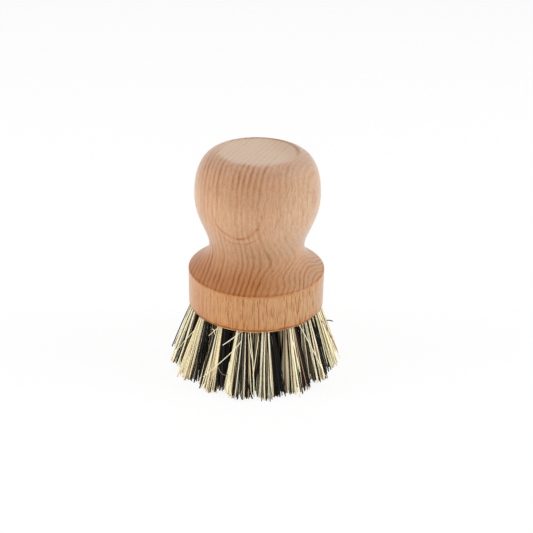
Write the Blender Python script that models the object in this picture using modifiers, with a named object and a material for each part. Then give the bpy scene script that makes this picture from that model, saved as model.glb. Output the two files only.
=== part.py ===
# Pot brush: a turned beech block with a palm knob, drilled from below and filled with splayed
# tufts of stiff plant fibre. Each tuft is folded over a flat wire anchor that bites into the wood.
# Lengths are in metres, +Z is up, and the origin lies under the middle of the trimmed fibre tips.

import math
import random

import bmesh
import bpy
import numpy as np
from mathutils import Euler, Matrix, Vector
from mathutils.geometry import interpolate_bezier

# The turned block
RIM_RADIUS = 0.0250
RIM_HEIGHT = 0.0144  # the straight band that is drilled
WAIST_RADIUS = 0.01735
WAIST_RISE = 0.0095  # this and the next rises are measured from the top of the band
BELLY_RADIUS = 0.0225
BELLY_RISE = 0.0290
CROWN_RADIUS = 0.0146  # the flat top
CROWN_RISE = 0.0446
CROWN_EDGE_RADIUS = 0.0016
RIM_EDGE_RADIUS = 0.0005
RIM_CHAMFER = 0.0009  # along the lower edge

# How full the turned curves are: handle lengths as shares of the spans that they cross
SHOULDER_START_SHARE = 0.32
SHOULDER_END_SHARE = 0.62
NECK_START_SHARE = 0.29
NECK_END_SHARE = 0.46
CROWN_START_SHARE = 0.66
CROWN_END_SHARE = 0.51
SHOULDER_ANGLE = math.radians(43)  # above the horizontal, where the shoulder leaves the band
CROWN_ANGLE = math.radians(11)  # below the horizontal, where the knob leaves the flat top

# The drilled holes: three rings, tilted outwards more the further out they are
HOLE_RADIUS = 0.0024
HOLE_DEPTH = 0.0100
DRILL_POINT = 0.0010
EDGE_WOOD = 0.0005  # between the outer holes and the chamfer
OUTER_TILT_ANGLE = math.radians(14.3)
RING_COUNTS = {"outer": 16, "middle": 10, "inner": 3}
RING_SHARES = {"outer": 1.0, "middle": 0.615, "inner": 0.225}  # of the outer ring's radius

# The tufts
BRISTLE_LENGTH = 0.0240  # from the drilled face down to the trimmed tips
FIT_GAP = 0.0003  # between parts that touch
PLUG_RECESS = 0.0008  # from the mouth of a hole up to where the fibres part
STRANDS = 16
STRAND_RADIUS = 0.00030
STRAND_ROOT = 0.0007  # how far a strand runs up inside its plug
TIP_FULLNESS_SHARE = 1.5  # of the strand's thickness at its root
TIP_STRAY = 0.00025
TUFT_GAP = 0.0005  # between the spread tips of neighbouring tufts
TRIM_DEPTH = 0.0005  # what the flat trim takes off the longest strands
UNEVEN_TIPS = 0.0014  # how far the shortest strand ends above the longest

# The wire anchors
ANCHOR_THICKNESS = 0.0004
ANCHOR_HEIGHT = 0.0018
ANCHOR_BITE = 0.0003  # into the wood on each side of the hole
ANCHOR_EDGE = 0.00006
FOLD_THICKNESS = 0.0016  # of the fibres between an anchor and the bottom of its hole

# Fineness
TURNED_STEPS = 64
HOLE_STEPS = 12
CURVE_STEPS = 8
EDGE_STEPS = 3
SHARP_ANGLE = math.radians(40)
MERGE = 0.00001
CUT_OVERRUN = 0.0020
GOLDEN_ANGLE = math.pi * (3 - math.sqrt(5))

RIM_Z = BRISTLE_LENGTH + RIM_HEIGHT
OUTER_RING_RADIUS = RIM_RADIUS - RIM_CHAMFER - EDGE_WOOD - HOLE_RADIUS
PLUG_RADIUS = HOLE_RADIUS - FIT_GAP
ANCHOR_LENGTH = 2 * (HOLE_RADIUS + ANCHOR_BITE)
ANCHOR_DEPTH = HOLE_DEPTH - 2 * FIT_GAP - FOLD_THICKNESS - ANCHOR_HEIGHT / 2  # of its middle


def clear_scene():
    for old in list(bpy.data.objects):
        bpy.data.objects.remove(old)


def new_collection(name):
    made = bpy.data.collections.new(name)
    bpy.context.scene.collection.children.link(made)
    return made


def new_material(name, colour, roughness, metallic=0.0):
    made = bpy.data.materials.new(name)
    made.use_nodes = True
    shader = made.node_tree.nodes["Principled BSDF"]
    shader.inputs["Base Color"].default_value = (*colour, 1.0)
    shader.inputs["Roughness"].default_value = roughness
    shader.inputs["Metallic"].default_value = metallic
    made.diffuse_color = (*colour, 1.0)
    return made


def add_object(name, data, collection, parent=None, materials=()):
    made = bpy.data.objects.new(name, data)
    collection.objects.link(made)
    made.parent = parent
    for material in materials:
        data.materials.append(material)
    return made


def as_cutter(helper):
    helper.hide_render = True
    helper.display_type = "WIRE"
    return helper


def shaded(mesh):
    """Smooth over its round faces, and crisp at its corners."""
    mesh.shade_smooth()
    mesh.set_sharp_from_angle(angle=SHARP_ANGLE)
    return mesh


def mesh_of(bm, name):
    mesh = bpy.data.meshes.new(name)
    bm.to_mesh(mesh)
    bm.free()
    return shaded(mesh)


def evaluated_mesh(helper, name):
    """The shape of a helper with its modifiers or its bevel, as a plain mesh. The helper goes."""
    bpy.context.view_layer.update()
    graph = bpy.context.evaluated_depsgraph_get()
    mesh = bpy.data.meshes.new_from_object(helper.evaluated_get(graph))
    mesh.name = name
    bpy.data.objects.remove(helper)
    return mesh


def add_boolean(target, operation, other):
    cut = target.modifiers.new(f"{operation.lower()} {other.name}", "BOOLEAN")
    cut.operation = operation
    cut.solver = "EXACT"
    cut.object = other


def rounded_corner(before, corner, after, radius):
    """Arc that eases a corner. before and after are points on the two tangents."""
    towards_before = (before - corner).normalized()
    towards_after = (after - corner).normalized()
    half = towards_before.angle(towards_after) / 2
    reach = radius / math.tan(half)
    start = corner + towards_before * reach
    end = corner + towards_after * reach
    centre = corner + (towards_before + towards_after).normalized() * radius / math.sin(half)
    arc = []
    for step in range(EDGE_STEPS + 1):
        arm = (start - centre).slerp(end - centre, step / EDGE_STEPS)
        arc.append(centre + arm.normalized() * radius)
    return arc


def block_profile():
    """The block's outline in the XZ plane, from the middle of the crown to that of the drilled face."""
    up = Vector((0, 0, 1))
    crown = Vector((CROWN_RADIUS, 0, RIM_Z + CROWN_RISE))
    belly = Vector((BELLY_RADIUS, 0, RIM_Z + BELLY_RISE))
    waist = Vector((WAIST_RADIUS, 0, RIM_Z + WAIST_RISE))
    rim = Vector((RIM_RADIUS, 0, RIM_Z))

    from_crown = Vector((math.cos(CROWN_ANGLE), 0, -math.sin(CROWN_ANGLE)))
    from_rim = Vector((-math.cos(SHOULDER_ANGLE), 0, math.sin(SHOULDER_ANGLE)))
    crown_handle = crown + from_crown * (BELLY_RADIUS - CROWN_RADIUS) * CROWN_END_SHARE
    belly_top_handle = belly + up * (CROWN_RISE - BELLY_RISE) * CROWN_START_SHARE
    belly_low_handle = belly - up * (BELLY_RISE - WAIST_RISE) * NECK_END_SHARE
    waist_top_handle = waist + up * (BELLY_RISE - WAIST_RISE) * NECK_START_SHARE
    waist_low_handle = waist - up * WAIST_RISE * SHOULDER_END_SHARE
    rim_handle = rim + from_rim * (RIM_RADIUS - WAIST_RADIUS) * SHOULDER_START_SHARE

    knob = interpolate_bezier(crown, crown_handle, belly_top_handle, belly, CURVE_STEPS + 1)
    neck = interpolate_bezier(belly, belly_low_handle, waist_top_handle, waist, CURVE_STEPS + 1)
    shoulder = interpolate_bezier(waist, waist_low_handle, rim_handle, rim, CURVE_STEPS + 1)

    crown_centre = Vector((0, 0, crown.z))
    band_foot = Vector((RIM_RADIUS, 0, BRISTLE_LENGTH + RIM_CHAMFER))
    chamfer_foot = Vector((RIM_RADIUS - RIM_CHAMFER, 0, BRISTLE_LENGTH))
    face_centre = Vector((0, 0, BRISTLE_LENGTH))
    crown_edge = rounded_corner(crown_centre, crown, crown + from_crown, CROWN_EDGE_RADIUS)
    rim_edge = rounded_corner(rim + from_rim, rim, band_foot, RIM_EDGE_RADIUS)

    # A curve point is left out where the eased corner has already passed it.
    knob = [point for point in knob[1:] if point.x > crown_edge[-1].x]
    shoulder = [point for point in shoulder[1:-1] if point.x < rim_edge[0].x]
    return [
        crown_centre,
        *crown_edge,
        *knob,
        *neck[1:],
        *shoulder,
        *rim_edge,
        band_foot,
        chamfer_foot,
        face_centre,
    ]


def turned_block(collection, root, material):
    """The whole wooden body, turned in one piece."""
    profile = block_profile()
    outline = bpy.data.meshes.new("block_outline")
    outline.from_pydata(profile, [(i, i + 1) for i in range(len(profile) - 1)], [])
    blank = add_object("block_outline", outline, collection)
    turn = blank.modifiers.new("turn", "SCREW")
    turn.axis = "Z"
    turn.steps = TURNED_STEPS
    turn.render_steps = TURNED_STEPS
    turn.use_merge_vertices = True
    turn.merge_threshold = MERGE
    mesh = shaded(evaluated_mesh(blank, "beech_block"))
    return add_object("beech_block", mesh, collection, root, [material])


def hole_stations():
    """Every hole's name, matrix, tilt and strand pattern. Its matrix puts the mouth of the hole at
    the origin, with the bottom of the hole along +Z. The front falls between two outer holes."""
    stations = []
    for ring, count in RING_COUNTS.items():
        radius = OUTER_RING_RADIUS * RING_SHARES[ring]
        tilt = math.atan(math.tan(OUTER_TILT_ANGLE) * RING_SHARES[ring])
        for index in range(count):
            turn = 2 * math.pi * (index + 0.5) / count
            mouth = Vector((radius * math.cos(turn), radius * math.sin(turn), BRISTLE_LENGTH))
            matrix = Matrix.Translation(mouth) @ Euler((0, -tilt, turn)).to_matrix().to_4x4()
            # Opposite tufts share one pattern, which keeps the brush balanced on its axis.
            pattern = f"{ring} {index % max(1, count // 2)}"
            stations.append((f"{ring}_{index + 1:02d}", matrix, tilt, pattern))
    return stations


def add_peg(bm, radius, low, high, matrix):
    """A closed round peg along the hole, from low to high, whose upper end has the drill's point."""
    made = bmesh.ops.create_cone(
        bm,
        cap_ends=True,
        cap_tris=True,
        segments=HOLE_STEPS,
        radius1=radius,
        radius2=radius,
        depth=high - low,
        matrix=Matrix.Translation((0, 0, (low + high) / 2)),
    )
    tip = max(made["verts"], key=lambda vert: (vert.co.z, -vert.co.xy.length))
    tip.co.z += DRILL_POINT
    bmesh.ops.transform(bm, matrix=matrix, verts=made["verts"])


def drill_cutter(stations, collection):
    """One drill for each hole, long enough to pass the drilled face."""
    bm = bmesh.new()
    for _, matrix, _, _ in stations:
        add_peg(bm, HOLE_RADIUS, -CUT_OVERRUN, HOLE_DEPTH, matrix)
    return as_cutter(add_object("drills", mesh_of(bm, "drills"), collection))


def add_box(bm, size, centre, matrix):
    shape = matrix @ Matrix.Translation(centre) @ Matrix.Diagonal((*size, 1))
    bmesh.ops.create_cube(bm, size=1, matrix=shape)


def anchor_slot_cutter(stations, collection):
    """Room for each anchor: its nick in the wood on both sides, and its eye in the tuft."""
    bm = bmesh.new()
    size = Vector((ANCHOR_THICKNESS, ANCHOR_LENGTH, ANCHOR_HEIGHT)) + Vector((2 * FIT_GAP,) * 3)
    for _, matrix, _, _ in stations:
        add_box(bm, size, Vector((0, 0, ANCHOR_DEPTH)), matrix)
    return as_cutter(add_object("anchor_slots", mesh_of(bm, "anchor_slots"), collection))


def trim_cutter(collection):
    """The slab of space that the flat trim clears under the tips."""
    reach = 2 * (RIM_RADIUS + BRISTLE_LENGTH)
    depth = TRIM_DEPTH + CUT_OVERRUN
    bm = bmesh.new()
    add_box(bm, Vector((reach, reach, depth)), Vector((0, 0, -depth / 2)), Matrix())
    return as_cutter(add_object("tip_trim", mesh_of(bm, "tip_trim"), collection))


def least_tip_spacing(stations):
    """Distance between the closest two tufts where they end, along the lines of their holes."""
    ends = []
    for _, matrix, tilt, _ in stations:
        ends.append(matrix @ Vector((0, 0, -BRISTLE_LENGTH / math.cos(tilt))))
    return min((one - other).length for i, one in enumerate(ends) for other in ends[:i])


def spoke(turn, reach):
    return Vector((math.cos(turn), math.sin(turn), 0)) * reach


def strand_paths(tilt, pattern, tip_spacing):
    """Root and tip of every strand of a tuft, in the frame of its hole."""
    chance = random.Random(pattern)
    root_reach = PLUG_RADIUS - STRAND_RADIUS
    tip_thickness = STRAND_RADIUS * TIP_FULLNESS_SHARE
    tip_reach = (tip_spacing - TUFT_GAP) / 2 - TIP_STRAY - tip_thickness
    first_turn = chance.uniform(0, 2 * math.pi)
    paths = []
    for number in range(STRANDS):
        out_share = math.sqrt((number + 0.5) / STRANDS)
        turn = first_turn + number * GOLDEN_ANGLE
        root = spoke(turn, root_reach * out_share)
        root.z = PLUG_RECESS + STRAND_ROOT
        tip = spoke(turn, tip_reach * out_share)
        tip += spoke(chance.uniform(0, 2 * math.pi), chance.uniform(0, TIP_STRAY))
        # The middle strand is the longest, so that every tuft reaches the flat trim.
        shortfall = chance.uniform(0, UNEVEN_TIPS) if number else 0
        drop = BRISTLE_LENGTH + TRIM_DEPTH - shortfall
        tip.z = -(drop + tip.x * math.sin(tilt)) / math.cos(tilt)
        paths.append((root, tip))
    return paths


def strand_section(collection):
    """The three-cornered section that every strand is drawn along its path with."""
    curve = bpy.data.curves.new("strand_section", "CURVE")
    curve.dimensions = "2D"
    spline = curve.splines.new("POLY")
    corners = 3
    spline.points.add(corners - 1)
    for corner, point in enumerate(spline.points):
        turn = 2 * math.pi * corner / corners
        point.co = (STRAND_RADIUS * math.cos(turn), STRAND_RADIUS * math.sin(turn), 0, 1)
    spline.use_cyclic_u = True
    return as_cutter(add_object("strand_section", curve, collection))


def strand_bundle(name, paths, pattern, section, collection, parent, fibres):
    """All the strands of a tuft as one helper mesh, ready to be joined to its plug."""
    chance = random.Random(f"{pattern} colours")
    curve = bpy.data.curves.new(name, "CURVE")
    curve.dimensions = "3D"
    curve.bevel_mode = "OBJECT"
    curve.bevel_object = section
    curve.use_fill_caps = True
    for path in paths:
        spline = curve.splines.new("POLY")
        spline.points.add(len(path) - 1)
        spline.material_index = chance.choice((0, 0, 1, 1, 2))
        for point, place, fullness in zip(spline.points, path, (1, TIP_FULLNESS_SHARE)):
            point.co = (*place, 1)
            point.radius = fullness
    drawn = add_object(f"{name}_curve", curve, collection, parent, fibres)
    mesh = evaluated_mesh(drawn, name)
    bm = bmesh.new()
    bm.from_mesh(mesh)
    bmesh.ops.remove_doubles(bm, verts=bm.verts, dist=MERGE)
    bmesh.ops.recalc_face_normals(bm, faces=bm.faces)
    bm.to_mesh(mesh)
    bm.free()
    return as_cutter(add_object(name, mesh, collection, parent))


def tuft(name, pattern, paths, station, kit):
    """A folded bundle of fibres: the plug that fills the hole, and the strands that leave it."""
    bm = bmesh.new()
    add_peg(bm, PLUG_RADIUS, PLUG_RECESS, HOLE_DEPTH - FIT_GAP, Matrix())
    node = f"tuft_{name}"
    bundle = add_object(node, mesh_of(bm, node), kit["parts"], station, kit["fibres"])
    strands = strand_bundle(
        f"strands_{name}", paths, pattern, kit["section"], kit["cutters"], station, kit["fibres"]
    )
    add_boolean(bundle, "UNION", strands)
    add_boolean(bundle, "DIFFERENCE", kit["slots"])
    add_boolean(bundle, "DIFFERENCE", kit["trim"])


def anchor_wire(name, station, kit):
    """A cut length of flat wire that pins the fold of a tuft in its hole."""
    bm = bmesh.new()
    size = Vector((ANCHOR_THICKNESS, ANCHOR_LENGTH, ANCHOR_HEIGHT))
    add_box(bm, size, Vector((0, 0, ANCHOR_DEPTH)), Matrix())
    node = f"anchor_wire_{name}"
    wire = add_object(node, mesh_of(bm, node), kit["parts"], station, [kit["steel"]])
    ease = wire.modifiers.new("eased edges", "BEVEL")
    ease.width = ANCHOR_EDGE
    ease.segments = 1
    ease.limit_method = "NONE"
    ease.use_clamp_overlap = True


def print_least_gap(strands):
    """Measures the least gap between any two strands, from points along their middles."""
    samples = 12
    shares = np.linspace(0, 1, samples)[:, None]
    roots = np.array([root for root, _ in strands])[:, None]
    tips = np.array([tip for _, tip in strands])[:, None]
    lines = roots * (1 - shares) + tips * shares
    thickness = 2 * STRAND_RADIUS * (1 + shares[:, 0] * (TIP_FULLNESS_SHARE - 1))
    least = math.inf
    for number, line in enumerate(lines[:-1]):
        apart = np.linalg.norm(lines[number + 1 :] - line, axis=2) - thickness
        least = min(least, apart.min())
    print(f"{len(lines)} strands, least gap between two of them {least * 1000:.2f} mm")


def build():
    clear_scene()
    parts = new_collection("pot_brush")
    cutters = new_collection("cutters")
    root = add_object("brush_axis", None, parts)
    beech = new_material("beech", (0.62, 0.37, 0.21), 0.55)
    fibres = [
        new_material("black_fibre", (0.02, 0.018, 0.014), 0.45),
        new_material("cream_fibre", (0.78, 0.66, 0.38), 0.50),
        new_material("brown_fibre", (0.28, 0.12, 0.05), 0.50),
    ]
    steel = new_material("anchor_steel", (0.55, 0.55, 0.56), 0.35, 1.0)

    stations = hole_stations()
    block = turned_block(parts, root, beech)
    kit = {
        "parts": parts,
        "cutters": cutters,
        "fibres": fibres,
        "steel": steel,
        "slots": anchor_slot_cutter(stations, cutters),
        "trim": trim_cutter(cutters),
        "section": strand_section(cutters),
    }
    add_boolean(block, "DIFFERENCE", drill_cutter(stations, cutters))
    add_boolean(block, "DIFFERENCE", kit["slots"])

    tip_spacing = least_tip_spacing(stations)
    strands = []
    for name, matrix, tilt, pattern in stations:
        station = add_object(f"hole_{name}", None, parts, root)
        station.matrix_world = matrix
        paths = strand_paths(tilt, pattern, tip_spacing)
        tuft(name, pattern, paths, station, kit)
        anchor_wire(name, station, kit)
        strands.extend((matrix @ root_end, matrix @ tip) for root_end, tip in paths)
    print_least_gap(strands)


build()
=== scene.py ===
# Finish of a palm-held pot brush: bare turned beech and splayed tufts of black and cream fibre.
# Lengths are in metres, +Z is up and the brush stands on its bristle tips at z = 0.

import math

import bpy
from mathutils import Euler, Matrix, Vector
from mathutils.geometry import interpolate_bezier


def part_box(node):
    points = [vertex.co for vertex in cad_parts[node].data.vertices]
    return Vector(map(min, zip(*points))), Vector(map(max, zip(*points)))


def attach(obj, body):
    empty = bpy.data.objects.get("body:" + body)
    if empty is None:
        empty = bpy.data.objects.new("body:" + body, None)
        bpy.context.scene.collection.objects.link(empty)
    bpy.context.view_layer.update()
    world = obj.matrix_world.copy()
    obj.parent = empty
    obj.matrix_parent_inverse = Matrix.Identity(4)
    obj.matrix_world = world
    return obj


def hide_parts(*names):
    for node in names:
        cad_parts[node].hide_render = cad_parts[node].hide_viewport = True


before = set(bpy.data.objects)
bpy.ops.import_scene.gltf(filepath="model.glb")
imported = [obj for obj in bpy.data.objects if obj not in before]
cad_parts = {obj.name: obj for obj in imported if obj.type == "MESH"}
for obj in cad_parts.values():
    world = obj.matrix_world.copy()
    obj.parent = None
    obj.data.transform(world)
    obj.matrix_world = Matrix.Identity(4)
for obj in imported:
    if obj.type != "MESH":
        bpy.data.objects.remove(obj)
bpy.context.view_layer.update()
blockLow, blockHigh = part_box("beech_block")


# Node trees written as expressions

class Wire:
    # an output socket that can stand in a sum
    def __init__(self, graph, socket):
        self.graph = graph
        self.socket = socket

    def math(self, operation, *others):
        return self.graph.maths(operation, self, *others)

    def __add__(self, other):
        return self.graph.maths("ADD", self, other)

    def __radd__(self, other):
        return self.graph.maths("ADD", other, self)

    def __sub__(self, other):
        return self.graph.maths("SUBTRACT", self, other)

    def __rsub__(self, other):
        return self.graph.maths("SUBTRACT", other, self)

    def __mul__(self, other):
        return self.graph.maths("MULTIPLY", self, other)

    def __truediv__(self, other):
        return self.graph.maths("DIVIDE", self, other)

    def __neg__(self):
        return self.graph.maths("MULTIPLY", self, -1)

    def clamp(self):
        return self.graph.node("ShaderNodeClamp", {}, {"Value": self, "Min": 0.0, "Max": 1.0})

    def band(self, low, high):
        # 0 below low, 1 above high, smooth between
        inputs = {"Value": self, "From Min": low, "From Max": high, "To Min": 0.0, "To Max": 1.0}
        return self.graph.node("ShaderNodeMapRange", {"interpolation_type": "SMOOTHSTEP"}, inputs)


class Graph:
    def __init__(self, tree):
        self.tree = tree

    def node(self, kind, settings, inputs, output=0):
        made = self.tree.nodes.new(kind)
        for name, value in settings.items():
            if name == "stops":
                self.setStops(made.color_ramp, value)
            else:
                setattr(made, name, value)
        for key, value in inputs.items():
            if isinstance(value, Wire):
                self.tree.links.new(value.socket, made.inputs[key])
            elif value is not None:
                made.inputs[key].default_value = value
        return Wire(self, made.outputs[output])

    def shape(self, kind, inputs, **settings):
        return self.node("GeometryNode" + kind, settings, inputs)

    def setStops(self, ramp, stops):
        while len(ramp.elements) < len(stops):
            ramp.elements.new(0.5)
        for element, (place, colour) in zip(ramp.elements, stops):
            element.position = place
            element.color = (*colour, 1.0)

    def maths(self, operation, *values):
        return self.node("ShaderNodeMath", {"operation": operation}, dict(enumerate(values)))

    def vectors(self, operation, first, second=None):
        return self.node("ShaderNodeVectorMath", {"operation": operation}, {0: first, 1: second})

    def xyz(self, x, y, z):
        return self.node("ShaderNodeCombineXYZ", {}, {0: x, 1: y, 2: z})

    def parts(self, vector):
        return [self.node("ShaderNodeSeparateXYZ", {}, {0: vector}, axis) for axis in range(3)]

    def mixColour(self, factor, first, second, blend="MIX"):
        settings = {"data_type": "RGBA", "blend_type": blend}
        return self.node("ShaderNodeMix", settings, {0: factor, 6: first, 7: second}, 2)

    def noise(self, vector, scale, detail=2.0, roughness=0.5, output="Fac"):
        inputs = {"Vector": vector, "Scale": scale, "Detail": detail, "Roughness": roughness}
        return self.node("ShaderNodeTexNoise", {}, inputs, output)


def addObject(name, data):
    made = bpy.data.objects.new(name, data)
    bpy.context.scene.collection.objects.link(made)
    return made


def newMaterial(name):
    made = bpy.data.materials.new(name)
    made.use_nodes = True
    shader = made.node_tree.nodes["Principled BSDF"]
    return made, Graph(made.node_tree), shader


def feed(graph, wire, shader, socketName):
    graph.tree.links.new(wire.socket, shader.inputs[socketName])


def showMixed(material, graph, factor, first, second):
    # the material shows the first shader where the factor is 0 and the second where it is 1
    mixed = graph.node("ShaderNodeMixShader", {}, {0: factor, 1: first, 2: second})
    output = material.node_tree.nodes["Material Output"]
    graph.tree.links.new(mixed.socket, output.inputs["Surface"])


def newGeometryTree(name, inputs):
    # inputs: {name: (socket type, default)}; every tree also takes and gives a geometry
    tree = bpy.data.node_groups.new(name, "GeometryNodeTree")
    tree.interface.new_socket("Geometry", in_out="INPUT", socket_type="NodeSocketGeometry")
    for label, (kind, value) in inputs.items():
        socket = tree.interface.new_socket(label, in_out="INPUT", socket_type=kind)
        if value is not None:
            socket.default_value = value
    tree.interface.new_socket("Geometry", in_out="OUTPUT", socket_type="NodeSocketGeometry")
    graph = Graph(tree)
    source = tree.nodes.new("NodeGroupInput")
    wires = {socket.name: Wire(graph, socket) for socket in source.outputs if socket.name}
    return tree, graph, wires


def closeTree(graph, geometry):
    target = graph.tree.nodes.new("NodeGroupOutput")
    graph.tree.links.new(geometry.socket, target.inputs[0])


def runTree(tree, data, values, name):
    # the result of a geometry tree on a curve or mesh, as a plain mesh object
    holder = addObject(name + "Source", data)
    modifier = holder.modifiers.new(tree.name, "NODES")
    modifier.node_group = tree
    sockets = {item.name: item.identifier for item in tree.interface.items_tree if item.in_out == "INPUT"}
    for label, value in values.items():
        modifier[sockets[label]] = value
    bpy.context.view_layer.update()
    graph = bpy.context.evaluated_depsgraph_get()
    mesh = bpy.data.meshes.new_from_object(holder.evaluated_get(graph))
    bpy.data.objects.remove(holder)
    kept = bpy.data.curves if isinstance(data, bpy.types.Curve) else bpy.data.meshes
    kept.remove(data)
    mesh.name = name
    return addObject(name, mesh)


# Camera and light

cameraView = {
    "lens": 65.0,
    "sensor": 36.0,
    "target": Vector((0, 0, 0.0384)),
    "distance": 0.3548,
    "pitch": math.radians(26.517),
    "turn": math.radians(-0.5955),
    "lift": math.radians(-0.0416),
    "roll": math.radians(-0.886),
}


def makeCamera(view):
    forward = Vector((0, math.cos(view["pitch"]), -math.sin(view["pitch"])))
    place = view["target"] - forward * view["distance"]
    right = Vector((1, 0, 0))
    up = right.cross(forward)
    turn = Matrix.Rotation(view["turn"], 3, up)
    forward, right = turn @ forward, turn @ right
    forward = Matrix.Rotation(view["lift"], 3, right) @ forward
    up = right.cross(forward)
    roll = Matrix.Rotation(view["roll"], 3, forward)
    right, up = roll @ right, roll @ up
    data = bpy.data.cameras.new("photoCamera")
    data.lens = view["lens"]
    data.sensor_width = view["sensor"]
    camera = addObject("photoCamera", data)
    axes = Matrix((right, up, -forward)).transposed()
    camera.matrix_world = Matrix.Translation(place) @ axes.to_4x4()
    bpy.context.scene.camera = camera


studio = {
    "ambient": 0.50,
    "floorLift": 0.88,  # how much of the floor's look is plain white
    "floorReach": 4.0,
    "floorDrop": 0.0001,  # how far it lies below the bristle tips
    "floorTone": (0.88, 0.88, 0.88),
    "floorRoughness": 0.9,
    "lamps": {
        "left": {"place": (-0.75, -0.10, 0.42), "size": 0.6, "power": 3.4},
        "right": {"place": (0.75, -0.05, 0.42), "size": 0.6, "power": 3.6},
        "top": {"place": (0.0, 0.15, 0.95), "size": 0.7, "power": 2.4},
        "front": {"place": (0.05, -0.9, 0.15), "size": 0.6, "power": 1.6},
    },
}


def seenDirectly(graph):
    # 1 for what the camera, a reflection or a clear solid sees, 0 for light on the object
    path = graph.tree.nodes.new("ShaderNodeLightPath")
    names = ("Is Camera Ray", "Is Glossy Ray", "Is Transmission Ray")
    first, second, third = (Wire(graph, path.outputs[name]) for name in names)
    return first.math("MAXIMUM", second).math("MAXIMUM", third)


def makeStudio(values):
    world = bpy.data.worlds.new("studio")
    world.use_nodes = True
    bpy.context.scene.world = world
    graph = Graph(world.node_tree)
    backdrop = world.node_tree.nodes["Background"]
    backdrop.inputs["Color"].default_value = (1, 1, 1, 1)
    seen = seenDirectly(graph)
    feed(graph, seen * (1 - values["ambient"]) + values["ambient"], backdrop, "Strength")

    for name, lamp in values["lamps"].items():
        data = bpy.data.lights.new(name + "Lamp", "AREA")
        data.shape = "DISK"
        data.size = lamp["size"]
        data.energy = lamp["power"]
        made = addObject(name + "Lamp", data)
        aim = cameraView["target"] - Vector(lamp["place"])
        made.location = lamp["place"]
        made.rotation_euler = aim.to_track_quat("-Z", "Y").to_euler()


def makeFloor(values):
    reach = values["floorReach"]
    mesh = bpy.data.meshes.new("floor")
    corners = [(-reach, -reach), (reach, -reach), (reach, reach), (-reach, reach)]
    mesh.from_pydata([(x, y, -values["floorDrop"]) for x, y in corners], [], [(0, 1, 2, 3)])
    floor = addObject("floor", mesh)
    material, graph, shader = newMaterial("paleFloor")
    shader.inputs["Base Color"].default_value = (*values["floorTone"], 1)
    shader.inputs["Roughness"].default_value = values["floorRoughness"]
    shader.inputs["Specular IOR Level"].default_value = 0.0
    glow = graph.node("ShaderNodeEmission", {}, {"Color": (1, 1, 1, 1), "Strength": 1.0})
    plain = Wire(graph, shader.outputs[0])
    showMixed(material, graph, seenDirectly(graph) * values["floorLift"], plain, glow)
    mesh.materials.append(material)


bpy.context.scene.view_settings.view_transform = "Standard"
makeCamera(cameraView)
makeStudio(studio)
makeFloor(studio)
print("camera, light and floor are set")


# Beech

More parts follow.
